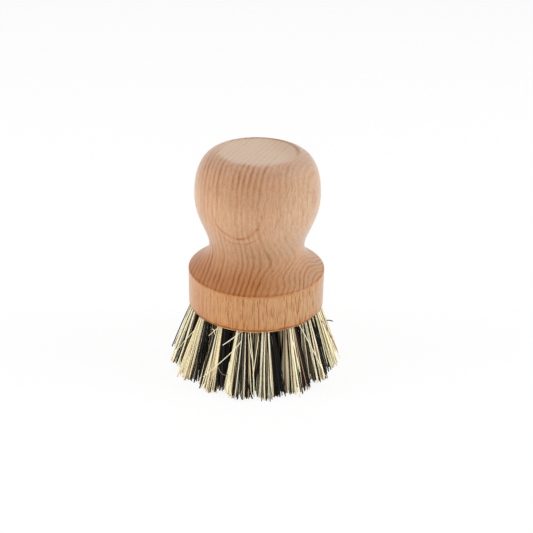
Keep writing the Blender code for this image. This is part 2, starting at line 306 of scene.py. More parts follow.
beech = {
    "ringTurn": 70.0,  # degrees from the front towards the right: the way the growth rings face
    "ringSpacing": 1.85,  # these lengths are in millimetres, like all in this material
    "ringStart": 0.45,
    "ringPattern": 35067,  # which rings are strong and which are faint
    "ringWidth": 0.85,  # how far the dark late wood reaches towards the middle of a year
    "tightFrom": 10.0,  # past here the years were poorer and their rings lie closer
    "tightness": 0.13,
    "wander": 1.7,
    "ripple": 0.7,
    "bend": 0.024,  # how strongly the rings at the right curve away again
    "bendFrom": (9.0, 16.0),
    "bendLine": {"start": 21.5, "lean": 1.2, "end": -3.0},  # the line that they curve away from
    "bendReach": 9.0,
    "swing": 2.3,  # how far they swing to the right at the waist
    "swingFrom": (3.0, 12.0),
    "ringShows": {"plain": 0.28, "crown": 0.62, "shoulder": 1.2, "neck": 0.24},
    "sapwood": (5.0, 24.0),
    "crownRound": (14.4, 18.4),
    "wornRound": ((12.9, 13.8), (14.0, 15.2)),
    "wornFrom": (4.0, 14.0),
    "crownRightFrom": (2.0, 15.0),
    # how far from the middle, in millimetres, the painted shade on the band's sides sets in
    "bandSideShadeFrom": (8.0, 22.0),
    "heart": (0.670, 0.412, 0.250),
    "sap": (0.640, 0.440, 0.300),
    "crownTone": (0.586, 0.468, 0.385),
    "crownRight": (0.52, 0.390, 0.300),
    "footTint": (0.96, 0.88, 0.68),
    "rimTint": (0.82, 0.66, 0.42),
    "rimLine": (0.66, 0.47, 0.20),  # the dark golden line where the chamfer starts
    "chamferTone": (0.80, 0.455, 0.18),
    # painted shade: a plain grey darkening of the waist under the knob
    "neckShadeTint": (0.92, 0.93, 0.92),
    "shoulderTint": (0.635, 0.42, 0.18),
    "topTint": (0.79, 0.725, 0.68),
    "brimTint": (0.89, 0.95, 1.06),
    "bandTint": (0.94, 0.81, 0.58),
    # painted shade on the band's left and right sides
    "bandSideShadeTint": (0.94, 0.93, 0.95),
    "ringTint": (0.66, 0.47, 0.26),
    "lowRingTint": (0.67, 0.455, 0.20),
    "fleckTint": (0.66, 0.40, 0.17),
    "lineTint": (0.78, 0.50, 0.24),
    "edgeTint": (0.62, 0.51, 0.41),
    "arrisTone": (0.52, 0.205, 0.022),
    "sheets": {-20.7: 0.75, -19.6: 0.38},  # ray sheets that the knob's front cuts into round lines
    "sheetWidth": (0.04, 0.34),
    # the round patch at the right: its middle, how much it is narrowed each way, and where it starts
    "eye": {"along": -3.5, "height": 70.0, "narrow": (0.45, 0.26), "from": (10.0, 16.0)},
    "roughness": 0.6,
    "dullRoughness": 0.8,
    "dullSpecular": 0.1,
    "sheen": 0.7,
    "sheenRoughness": 0.35,
    "bumpHeight": 0.00005,  # in metres
    "bumpStrength": 0.4,
    # how fine some noises are, level and along the fibres
    "dashGrain": (3.1, 0.21),
    "fadeGrain": (0.6, 0.2),
    "bundleGrain": (3.9, 0.13),
    # the same, but across the rings, along them and along the fibres
    "sheetGrain": (2.9, 0.5, 0.12),
    "hairGrain": (0.45, 0.45, 0.7),
    "speckGrain": (0.9, 4.0, 1.3),
    # between which values of their noise these set in
    "dashFrom": (0.15, 0.22),
    "fadeFrom": (0.25, 0.65),
    "speckFrom": (0.52, 0.66),
    "breakFrom": (0.44, 0.58),
    # the other noises: how much of the height counts, then their scale and detail
    "noises": {
        "blot": (1.0, 0.45, 2.0),
        "wander": (0.7, 0.035, 1.0),
        "ripple": (0.6, 0.30, 3.0),
        "shift": (1.0, 0.18, 2.0),
        "wave": (0.8, 0.20, 1.0),
        "grit": (0.35, 3.2, 2.0),
        "cloud": (0.5, 0.085, 2.0),
    },
    # heights between which a look fades in, or fades in and out again
    "heights": {
        "crown": (80.6, 82.2),
        "wornEdge": (81.0, 82.0),
        "brim": (78.0, 82.0),
        "top": (66.0, 79.0),
        "crownRings": (71.0, 81.0),
        "sheet": ((48.0, 52.0), (66.0, 72.0)),
        "sheetBreaks": (58.0, 66.0),
        "neckRings": ((48.0, 52.0), (54.0, 62.0)),
        # where the painted shade at the waist lies
        "neck": ((48.0, 51.0), (54.0, 59.0)),
        "swing": ((42.0, 47.0), (47.0, 60.0)),
        "shoulder": ((38.2, 38.6), (39.5, 54.5)),
        "overArris": ((38.3, 38.5), (38.7, 39.3)),
        "arris": ((37.7, 37.95), (38.3, 38.5)),
        "overBand": (37.8, 38.2),
        "overFoot": (25.0, 30.0),
        "overRim": (24.7, 26.2),
        "rimLine": ((24.7, 24.95), (25.1, 25.6)),
        "overChamfer": (24.6, 24.85),
        "sanded": (24.85, 25.15),
    },
}


class BeechSpot:
    # where a point of the wood lies and which part of the turned form it is on
    def __init__(self, graph, values):
        self.graph = graph
        self.values = values
        place = graph.node("ShaderNodeTexCoord", {}, {}, "Object")
        self.x, self.y, self.z = (part * 1000 for part in graph.parts(place))

        # s runs across the growth rings and t along them, both level; the fibres run along z
        turn = math.radians(values["ringTurn"])
        self.s = self.x * math.sin(turn) - self.y * math.cos(turn)
        self.t = self.x * math.cos(turn) + self.y * math.sin(turn)
        self.radius = (self.x * self.x + self.y * self.y).math("SQRT") + 0.01
        facing = self.s / self.radius
        self.alongRings = facing * facing  # 1 where the surface lies along them
        self.alongRays = (self.t / self.radius).math("POWER", 8.0)
        self.sapwood = self.s.band(*values["sapwood"])
        normal = graph.node("ShaderNodeNewGeometry", {}, {}, "Normal")
        self.slope = graph.parts(normal)[2].math("ABSOLUTE")
        self.blot = self.noise("blot") + 0.5
        crownRound = 1 - (self.radius + self.blot * 5.0).band(*values["crownRound"])
        self.crown = crownRound * self.height("crown")
        self.shoulder = self.height("shoulder")
        self.band = 1 - self.height("overBand")

    def noise(self, name):
        # from -0.5 to 0.5
        squeeze, scale, detail = self.values["noises"][name]
        return self.graph.noise(self.graph.xyz(self.x, self.y, self.z * squeeze), scale, detail) - 0.5

    def stretched(self, x, y, grain):
        level, upright = self.values[grain]
        return self.graph.xyz(x * level, y * level, self.z * upright)

    def stretchedByRings(self, s, grain):
        across, along, upright = self.values[grain]
        return self.graph.xyz(s * across, self.t * along, self.z * upright)

    def height(self, name):
        first, last = self.values["heights"][name]
        if isinstance(first, tuple):
            return self.z.band(*first) * (1 - self.z.band(*last))
        return self.z.band(first, last)


def ringLines(spot):
    # strong on the dark late wood of a year and 0 on its pale early wood
    graph, values, s, t = spot.graph, spot.values, spot.s, spot.t
    line = values["bendLine"]
    offLine = (t - ((s - line["start"]) * line["lean"]).math("MINIMUM", line["end"])).math("ABSOLUTE")
    offLine = offLine.math("MINIMUM", values["bendReach"])
    bend = offLine * offLine * s.band(*values["bendFrom"]) * values["bend"]
    swing = spot.height("swing") * (s.band(*values["swingFrom"]) * 0.85 + 0.15) * values["swing"]
    wander = spot.noise("wander") * values["wander"]
    across = s + wander + spot.noise("ripple") * values["ripple"] - bend - swing

    closer = (across - values["tightFrom"]).math("MAXIMUM", 0.0) * values["tightness"]
    years = (across - values["ringStart"]) / values["ringSpacing"] + closer
    year = (years + 0.5).math("FLOOR")
    offYear = (years - year).math("ABSOLUTE") * 2  # 0 on the dark line, 1 half way to the next
    drawn = {"W": year + values["ringPattern"]}
    strength = graph.node("ShaderNodeTexWhiteNoise", {"noise_dimensions": "1D"}, drawn, "Value")
    fading = graph.noise(spot.stretched(spot.x, spot.y, "fadeGrain"), 0.5, 2.0)
    fading = fading.band(*values["fadeFrom"])
    late = 1 - offYear.band(0.0, values["ringWidth"] - spot.shoulder * 0.2)
    return late * (strength * 0.75 + 0.25) * (fading * 0.7 + 0.55)


def ringShow(spot):
    # cut across the fibres the rings stand out, cut along them the rays do
    shows = spot.values["ringShows"]
    endGrain = spot.height("crownRings") * (shows["crown"] - spot.sapwood * 0.3)
    endGrain = endGrain + spot.shoulder * shows["shoulder"] + spot.height("neckRings") * shows["neck"]
    show = (endGrain + shows["plain"]) * (1 - spot.crown * 0.8)
    return show * (1 - spot.alongRings.band(0.75, 1.0) * 0.45)


def rayDashes(spot):
    # rays and vessels show as short dark dashes, most where the surface lies along the rings
    dashes = spot.graph.noise(spot.stretched(spot.x, spot.y, "dashGrain"), 1.0, 0.0)
    dashes = (dashes - 0.5 + spot.band * 0.05).band(*spot.values["dashFrom"])
    onBand = spot.band * (spot.x * 0.014 + 0.6).clamp()
    return dashes * (spot.alongRings * 0.2 + 0.2 + onBand) * (1 - spot.slope.band(0.5, 0.9))


def raySheets(spot):
    # sheets of rays show as broken round lines on the front of the knob
    values = spot.values
    shift = spot.noise("shift") * 0.6
    lines = 0.0
    for distance, show in values["sheets"].items():
        off = (spot.t - distance + shift).math("ABSOLUTE")
        lines = lines + (1 - off.band(*values["sheetWidth"])) * show
    broken = spot.blot.band(*values["breakFrom"]) * (spot.s.band(-6.0, 4.0) * 0.45 + 0.4)
    whole = (1 - spot.height("sheetBreaks")) * 0.3 + 0.25
    return lines * (whole + broken) * spot.height("sheet")


def rayPatches(spot):
    # what faces the rays squarely is speckled, and at the right they close in an eye
    values = spot.values
    eye = values["eye"]
    specks = spot.graph.noise(spot.stretchedByRings(spot.s, "speckGrain"), 1.0, 1.0)
    specks = specks.band(*values["speckFrom"]) * spot.alongRays * (1 - spot.slope.band(0.3, 0.8))
    offAlong = ((spot.t - eye["along"]) * eye["narrow"][0]).math("POWER", 2.0)
    offHeight = ((spot.z - eye["height"]) * eye["narrow"][1]).math("POWER", 2.0)
    closed = (1 - (offAlong + offHeight).band(0.2, 1.0)) * spot.s.band(*eye["from"])
    return specks * 0.2 + closed * 0.3


def fineLines(spot):
    # the finest lines: in sheets along the rings on the knob, in bundles of fibres on the band
    graph = spot.graph
    wave = spot.noise("wave") * 2.0
    sheets = spot.stretchedByRings(spot.s + wave, "sheetGrain")
    bundles = spot.stretched(spot.x + wave * 0.5, spot.y + wave * 0.5, "bundleGrain")
    bundled = spot.band.math("MAXIMUM", spot.alongRings.band(0.5, 0.95)).math("GREATER_THAN", 0.5)
    place = graph.node("ShaderNodeMix", {"data_type": "VECTOR"}, {0: bundled, 4: sheets, 5: bundles}, 1)
    streak = (graph.noise(place, 1.2, 3.0, 0.7) - 0.5) * (1.05 + spot.band * 0.45 + spot.alongRings * 0.2)
    hairs = graph.noise(graph.vectors("MULTIPLY", place, spot.values["hairGrain"]), 1.0, 1.0)
    hairs = 1 - (hairs - 0.5).math("ABSOLUTE").band(0.0, 0.07)
    return streak, hairs * (0.28 - spot.band * 0.1) - 0.06


def makeBeech(values):
    material, graph, shader = newMaterial("turnedBeech")
    spot = BeechSpot(graph, values)
    x, y, z, radius, blot, crown = spot.x, spot.y, spot.z, spot.radius, spot.blot, spot.crown
    late, show = ringLines(spot), ringShow(spot)
    dashes = rayDashes(spot)
    streak, hairs = fineLines(spot)
    grit = spot.noise("grit")

    def tone(name):
        return (*values[name], 1)

    def tinted(amount, colour, name):
        return graph.mixColour(amount.clamp(), colour, tone(name), "MULTIPLY")

    # the ground tones of the places on the turned form
    outer = (spot.sapwood + spot.noise("cloud") * 0.9).clamp()
    ground = graph.mixColour(outer, tone("heart"), tone("sap"))
    ground = tinted(spot.band, ground, "bandTint")
    ground = tinted(1 - spot.height("overFoot"), ground, "footTint")
    ground = tinted(spot.height("top") * (1 - spot.sapwood * 0.4), ground, "topTint")
    ground = tinted(spot.height("brim"), ground, "brimTint")
    # painted shade: the waist darkened where the knob above hides it from the light
    ground = tinted(spot.height("neck"), ground, "neckShadeTint")
    ground = tinted(spot.shoulder * (1 - spot.sapwood * 0.45), ground, "shoulderTint")
    right = (x + y * 0.4).band(*values["crownRightFrom"])
    pale = graph.mixColour(right, tone("crownTone"), tone("crownRight"))
    ground = graph.mixColour(crown, ground, pale)

    # the lines on them
    ground = tinted(0.28 + (hairs - streak * 0.9 - grit * 0.6) * (1 - crown * 0.7), ground, "ringTint")
    rings = graph.mixColour(spot.shoulder, tone("ringTint"), tone("lowRingTint"))
    ground = graph.mixColour((late * show).clamp(), ground, rings, "MULTIPLY")
    ground = tinted(dashes, ground, "fleckTint")
    ground = tinted(raySheets(spot) + rayPatches(spot), ground, "lineTint")

    # turned edges: the crown's is worn dark behind and at the right, the arris is golden
    rise, fall = values["wornRound"]
    worn = radius.band(*rise) * (1 - radius.band(*fall)) * spot.height("wornEdge")
    worn = worn * (x * 0.6 + y * 0.8 + blot * 6).band(*values["wornFrom"])
    ground = tinted(worn, ground, "edgeTint")
    ground = tinted(spot.height("overArris") * blot, ground, "lineTint")
    arris = spot.height("arris") * (blot * 2 - 0.15).clamp()
    ground = graph.mixColour(arris, ground, tone("arrisTone"))
    # painted shade: the band darkened towards its left and right sides
    ground = tinted(spot.band * x.math("ABSOLUTE").band(*values["bandSideShadeFrom"]), ground, "bandSideShadeTint")
    rim = 1 - (z + (blot - 0.5) * 1.6).band(*values["heights"]["overRim"])
    ground = tinted(rim, ground, "rimTint")
    rise, fall = values["heights"]["rimLine"]
    ground = tinted(z.band(*rise) * (1 - (z + (blot - 0.5)).band(*fall)), ground, "rimLine")
    chamfer = (1 - spot.height("overChamfer")) * blot.band(0.3, 0.6)
    ground = graph.mixColour(chamfer, ground, tone("chamferTone"))

    height = streak * 0.5 - hairs * 0.3 - late * show * 0.4 - dashes * 0.6 + grit * 0.4
    bumps = {"Height": height, "Distance": values["bumpHeight"], "Strength": values["bumpStrength"]}
    bump = graph.node("ShaderNodeBump", {}, bumps)
    feed(graph, ground, shader, "Base Color")
    feed(graph, values["roughness"] + late * 0.05 + streak * 0.1, shader, "Roughness")
    feed(graph, bump, shader, "Normal")
    shader.inputs["Sheen Weight"].default_value = values["sheen"]
    shader.inputs["Sheen Roughness"].default_value = values["sheenRoughness"]

    # the cut face below is dull, with none of the sanded wood's pale sheen, and so is most of the crown
    inputs = {"Base Color": ground, "Roughness": values["dullRoughness"], "Normal": bump}
    inputs["Specular IOR Level"] = values["dullSpecular"]
    dull = graph.node("ShaderNodeBsdfPrincipled", {}, inputs)
    sanded = Wire(graph, shader.outputs[0])
    showMixed(material, graph, spot.height("sanded") * (1 - crown * 0.85), dull, sanded)
    return material


# The turned and drilled block

turnedBlock = {
    "rimHeight": 0.0144,
    "waistRadius": 0.01735,
    "waistRise": 0.0095,
    "bellyRadius": 0.0225,
    "bellyRise": 0.0290,
    "crownRadius": 0.0146,
    "crownRise": 0.0446,
    "crownEdge": 0.0016,
    "rimEdge": 0.0005,
    "rimChamfer": 0.0009,
    "shoulderAngle": math.radians(43),
    "crownAngle": math.radians(11),
    "shoulderShares": (0.32, 0.62),
    "neckShares": (0.29, 0.46),
    "knobShares": (0.66, 0.51),
    "curveSteps": 26,
    "edgeSteps": 6,
    "turnSteps": 192,
    "spindle": 0.0000001,  # the outline is swept round a circle too small to see
    "weld": 0.000002,
    "sharpFrom": math.radians(30),
    "holeRadius": 0.0024,
    "holeDepth": 0.0100,
    "drillPoint": 0.0010,
    "edgeWood": 0.0005,  # what stands between the outer holes and the chamfer
    "outerTilt": math.radians(14.3),
    "holeSteps": 24,
    "overrun": 0.002,  # how far the drills reach out of the wood
    # how many holes each ring has, and its share of the outer ring's radius and splay
    "rings": {
        "outer": {"count": 16, "share": 1.0},
        "middle": {"count": 10, "share": 0.615},
        "inner": {"count": 3, "share": 0.225},
    },
}

rimRadius = (blockHigh.x - blockLow.x) / 2
faceHeight = blockLow.z
rimTop = faceHeight + turnedBlock["rimHeight"]
chamferInset = rimRadius - turnedBlock["rimChamfer"]
outerRing = chamferInset - turnedBlock["edgeWood"] - turnedBlock["holeRadius"]


def ringPlace(row):
    # how far from the axis the holes of a ring open and how far they lean outwards
    return outerRing * row["share"], math.atan(math.tan(turnedBlock["outerTilt"]) * row["share"])


def easedCorner(before, corner, after, radius, steps):
    first = (before - corner).normalized()
    second = (after - corner).normalized()
    half = first.angle(second) / 2
    start = corner + first * radius / math.tan(half)
    end = corner + second * radius / math.tan(half)
    centre = corner + (first + second).normalized() * radius / math.sin(half)
    arms = [(start - centre).slerp(end - centre, step / steps) for step in range(steps + 1)]
    return [centre + arm.normalized() * radius for arm in arms]


def blockOutline(size):
    # from the crown's middle down the outside to the middle of the drilled face; x is the radius
    up = Vector((0, 1, 0))
    crown = Vector((size["crownRadius"], rimTop + size["crownRise"], 0))
    belly = Vector((size["bellyRadius"], rimTop + size["bellyRise"], 0))
    waist = Vector((size["waistRadius"], rimTop + size["waistRise"], 0))
    rim = Vector((rimRadius, rimTop, 0))
    offCrown = Vector((math.cos(size["crownAngle"]), -math.sin(size["crownAngle"]), 0))
    offRim = Vector((-math.cos(size["shoulderAngle"]), math.sin(size["shoulderAngle"]), 0))
    knobHandles = (
        crown + offCrown * (belly.x - crown.x) * size["knobShares"][1],
        belly + up * (crown.y - belly.y) * size["knobShares"][0],
    )
    neckHandles = (
        belly - up * (belly.y - waist.y) * size["neckShares"][1],
        waist + up * (belly.y - waist.y) * size["neckShares"][0],
    )
    shoulderHandles = (
        waist - up * size["waistRise"] * size["shoulderShares"][1],
        rim + offRim * (rim.x - waist.x) * size["shoulderShares"][0],
    )
    steps = size["curveSteps"]
    knob = interpolate_bezier(crown, *knobHandles, belly, steps)
    neck = interpolate_bezier(belly, *neckHandles, waist, steps)
    shoulder = interpolate_bezier(waist, *shoulderHandles, rim, steps)
    middle = Vector((0, crown.y, 0))
    foot = Vector((rimRadius, faceHeight + size["rimChamfer"], 0))
    inset = Vector((chamferInset, faceHeight, 0))
    floorMiddle = Vector((0, faceHeight, 0))
    crownEdge = easedCorner(middle, crown, crown + offCrown, size["crownEdge"], size["edgeSteps"])
    rimEdge = easedCorner(rim + offRim, rim, foot, size["rimEdge"], size["edgeSteps"])
    knob = [point for point in knob[1:] if point.x > crownEdge[-1].x]
    shoulder = [point for point in shoulder[1:-1] if point.x < rimEdge[0].x]
    return [middle, *crownEdge, *knob, *neck[1:], *shoulder, *rimEdge, foot, inset, floorMiddle]


def joined(graph, operation, first, *others):
    # solids united with each other, or the others cut out of the first
    made = graph.tree.nodes.new("GeometryNodeMeshBoolean")
    made.operation = operation
    made.solver = "EXACT"
    if first:
        graph.tree.links.new(first.socket, made.inputs[0])
    for other in others:
        graph.tree.links.new(other.socket, made.inputs[1])
    return Wire(graph, made.outputs[0])


def turningTree(size):
    inputs = {
        "Turn Steps": ("NodeSocketInt", size["turnSteps"]),
        "Spindle": ("NodeSocketFloat", size["spindle"]),
        "Weld": ("NodeSocketFloat", size["weld"]),
        "Hole Steps": ("NodeSocketInt", size["holeSteps"]),
        "Hole Radius": ("NodeSocketFloat", size["holeRadius"]),
        "Hole Depth": ("NodeSocketFloat", size["holeDepth"]),
        "Drill Point": ("NodeSocketFloat", size["drillPoint"]),
        "Overrun": ("NodeSocketFloat", size["overrun"]),
        "Face Height": ("NodeSocketFloat", faceHeight),
        "Material": ("NodeSocketMaterial", None),
    }
    for ring, row in size["rings"].items():
        label = ring.capitalize()
        radius, tilt = ringPlace(row)
        inputs[label + " Count"] = ("NodeSocketInt", row["count"])
        inputs[label + " Radius"] = ("NodeSocketFloat", radius)
        inputs[label + " Tilt"] = ("NodeSocketFloat", tilt)
    tree, graph, wires = newGeometryTree("turnAndDrill", inputs)

    # turning: the outline goes round the axis once
    spindle = {"Resolution": wires["Turn Steps"], "Radius": wires["Spindle"]}
    spindle = graph.shape("CurvePrimitiveCircle", spindle, mode="RADIUS")
    turned = graph.shape("CurveToMesh", {"Curve": spindle, "Profile Curve": wires["Geometry"]})
    turned = graph.shape("MergeByDistance", {"Geometry": turned, "Distance": wires["Weld"]})

    # one drill: a straight shank and a blunt point
    length = wires["Hole Depth"] + wires["Overrun"]
    steps, radius = wires["Hole Steps"], wires["Hole Radius"]
    shank = {"Vertices": steps, "Radius": radius, "Depth": length}
    shank = graph.shape("MeshCylinder", shank, fill_type="NGON")
    middle = graph.xyz(0.0, 0.0, length / 2 - wires["Overrun"])
    shank = graph.shape("Transform", {"Geometry": shank, "Translation": middle})
    point = {"Vertices": steps, "Radius Bottom": radius, "Depth": wires["Drill Point"]}
    point = graph.shape("MeshCone", point, fill_type="NGON")
    end = graph.xyz(0.0, 0.0, wires["Hole Depth"])
    point = graph.shape("Transform", {"Geometry": point, "Translation": end})
    drill = joined(graph, "UNION", None, shank, point)

    allRings = graph.tree.nodes.new("GeometryNodeJoinGeometry")
    for ring in size["rings"]:
        label = ring.capitalize()
        angle = (graph.shape("InputIndex", {}) + 0.5) * (2 * math.pi) / wires[label + " Count"]
        radius = wires[label + " Radius"]
        mouth = graph.xyz(angle.math("COSINE") * radius, angle.math("SINE") * radius, wires["Face Height"])
        mouths = graph.shape("Points", {"Count": wires[label + " Count"], "Position": mouth})
        lean = graph.xyz(0.0, -wires[label + " Tilt"], angle)
        placed = graph.shape("InstanceOnPoints", {"Points": mouths, "Instance": drill, "Rotation": lean})
        graph.tree.links.new(placed.socket, allRings.inputs[0])
    drills = graph.shape("RealizeInstances", {"Geometry": Wire(graph, allRings.outputs[0])})

    drilled = joined(graph, "DIFFERENCE", turned, drills)
    closeTree(graph, graph.shape("SetMaterial", {"Geometry": drilled, "Material": wires["Material"]}))
    return tree


def makeBlock(size, material):
    outline = bpy.data.curves.new("blockOutline", "CURVE")
    outline.dimensions = "2D"
    points = blockOutline(size)
    spline = outline.splines.new("POLY")
    spline.points.add(len(points) - 1)
    for target, point in zip(spline.points, points):
        target.co = (point.x, -point.y, 0, 1)
    block = runTree(turningTree(size), outline, {"Material": material}, "turnedBlock")
    block.data.shade_smooth()
    block.data.set_sharp_from_angle(angle=size["sharpFrom"])
    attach(block, "root")
    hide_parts("beech_block")
    return block


block = makeBlock(turnedBlock, makeBeech(beech))
print("block", len(block.data.polygons), "faces", [round(v, 4) for v in block.dimensions])


# Tufts of fibre

fibres = {
    "count": 165,
    "thickness": 0.00018,
    "rootDepth": 0.0057,
    "rootRadius": 0.00215,
    "tipReach": 0.0047,  # from the middle of the tuft outwards, and the same inwards
    "tipWidth": 0.0056,  # to either side, so that neighbours meet
    "length": 0.0240,
    "unevenTips": 0.0004,
    "unevenBunches": 0.0012,
    "wander": 0.00035,
    "astray": 0.0022,  # how far the few crooked ones stray
    "bunching": 0.0022,
    "bow": 0.0005,
    "sides": 5,
    "steps": 7,
    "stripes": 3.3,  # how often black and cream take turns across a tuft
    "stripeEdge": (0.45, 0.55),
    "creamTone": 0.64,  # where the tones of the cream bunches start; the black ones' start at 0
    "oddFrom": 0.94,  # of all fibres this share keeps to the tone of its bunch
    "thicknesses": (0.65, 1.4),
    "black": (0.006, 0.0055, 0.005),
    "soot": (0.034, 0.029, 0.024),
    "taupe": (0.17, 0.130, 0.095),
    "rust": (0.42, 0.205, 0.085),
    "cream": (1.0, 0.84, 0.48),
    "pale": (1.0, 0.97, 0.69),
    # how the tones of the single fibres run, from 0 to 1
    "stops": (
        ("black", 0.0), ("black", 0.30), ("soot", 0.38), ("taupe", 0.47), ("taupe", 0.53),
        ("rust", 0.55), ("rust", 0.575), ("cream", 0.60), ("cream", 0.74), ("pale", 0.90),
    ),
    "stainTint": (0.72, 0.60, 0.42),
    "stainScale": 700.0,
    # painted shade on the fibres just under the band's rim, tinted brown
    "rootShadeTint": (0.42, 0.27, 0.14),
    "rootShade": (0.0228, 0.0241),  # the heights where the band's shade sets in
    "tipTint": (0.62, 0.50, 0.36),
    "tipShade": (0.93, 1.0),
    "waxy": (0.5, 0.62),  # the tones between which the pale ones' coat sets in
    "coatRoughness": 0.3,
    "coatIor": 1.9,
    "specular": 0.15,
    "roughness": 0.6,
    "surfaceShare": 0.4,  # how far a fibre is lit as part of its tuft's round side
    "surfaceRise": 0.008,
    # the pattern of each tuft, and how pale it is, from 0 for all black to 1 for all cream
    "looks": {
        "outer": (
            (178, 0.54), (12, 0.55), (13, 0.55), (14, 0.55), (15, 0.55), (16, 0.55), (17, 0.55),
            (24, 0.54), (226, 0.34), (129, 0.54), (72, 0.44), (77, 0.54), (233, 0.34), (328, 0.54),
            (281, 0.54), (93, 0.64),
        ),
        "middle": (
            (31, 0.4), (32, 0.4), (33, 0.4), (34, 0.4), (35, 0.4),
            (205, 0.64), (189, 0.34), (180, 0.54), (168, 0.44), (255, 0.72),
        ),
        "inner": ((41, 0.3), (42, 0.3), (43, 0.3)),
    },
    # where only black ones stand in a tuft, from -1 at its left side to 1 at its right
    "blackSpans": {
        "outer_12": (0.5, 1.2),
        "outer_13": (0.34, 1.2),
        "outer_14": (0.12, 1.2),
        "outer_15": (0.24, 0.92),
    },
    "spanEdge": 0.08,
    "spanStrength": 0.4,
}


def stored(graph, geometry, name, value, kind="FLOAT", domain="POINT"):
    inputs = {"Geometry": geometry, "Name": name, "Value": value}
    return graph.shape("StoreNamedAttribute", inputs, data_type=kind, domain=domain)


def recalled(graph, name, kind="FLOAT"):
    return graph.shape("InputNamedAttribute", {"Name": name}, data_type=kind)


def sweepTubes(graph, wires, curves, thickness):
    # the curves as closed tubes
    ring = graph.shape("CurvePrimitiveCircle", {"Resolution": wires["Sides"], "Radius": 1.0}, mode="RADIUS")
    sweep = {"Curve": curves, "Profile Curve": ring, "Scale": thickness, "Fill Caps": True}
    tubes = graph.shape("CurveToMesh", sweep)
    return graph.shape("SetMaterial", {"Geometry": tubes, "Material": wires["Material"]})


def makeFibreMaterial(values):
    material, graph, shader = newMaterial("mixedFibre")
    tone = graph.node("ShaderNodeAttribute", {"attribute_name": "fibreTone"}, {}, "Fac")
    along = graph.node("ShaderNodeAttribute", {"attribute_name": "alongFibre"}, {}, "Fac")
    place = graph.node("ShaderNodeTexCoord", {}, {}, "Object")
    x, y, z = graph.parts(place)

    def tinted(amount, colour, name):
        return graph.mixColour(amount, colour, (*values[name], 1), "MULTIPLY")

    stops = [(at, values[name]) for name, at in values["stops"]]
    colour = graph.node("ShaderNodeValToRGB", {"stops": stops}, {"Fac": tone}, "Color")
    stain = graph.noise(place, values["stainScale"], 2.0).band(0.45, 0.8)
    colour = tinted(stain * 0.2, colour, "stainTint")
    # painted shade: fibres darker and browner just under the wooden rim
    colour = tinted(z.band(*values["rootShade"]) * 0.8, colour, "rootShadeTint")
    colour = tinted(along.band(*values["tipShade"]) * 0.35, colour, "tipTint")
    feed(graph, colour, shader, "Base Color")
    feed(graph, values["roughness"] - stain * 0.1, shader, "Roughness")
    feed(graph, tone.band(*values["waxy"]), shader, "Coat Weight")
    shader.inputs["Coat Roughness"].default_value = values["coatRoughness"]
    shader.inputs["Coat IOR"].default_value = values["coatIor"]
    shader.inputs["Specular IOR Level"].default_value = values["specular"]

    # fibres that cling together catch the light as one surface that faces out and a little up
    outwards = graph.vectors("NORMALIZE", graph.xyz(x, y, values["surfaceRise"]))
    own = graph.node("ShaderNodeNewGeometry", {}, {}, "Normal")
    share = values["surfaceShare"]
    both = graph.node("ShaderNodeMix", {"data_type": "VECTOR"}, {0: share, 4: own, 5: outwards}, 1)
    feed(graph, graph.vectors("NORMALIZE", both), shader, "Normal")
    return material


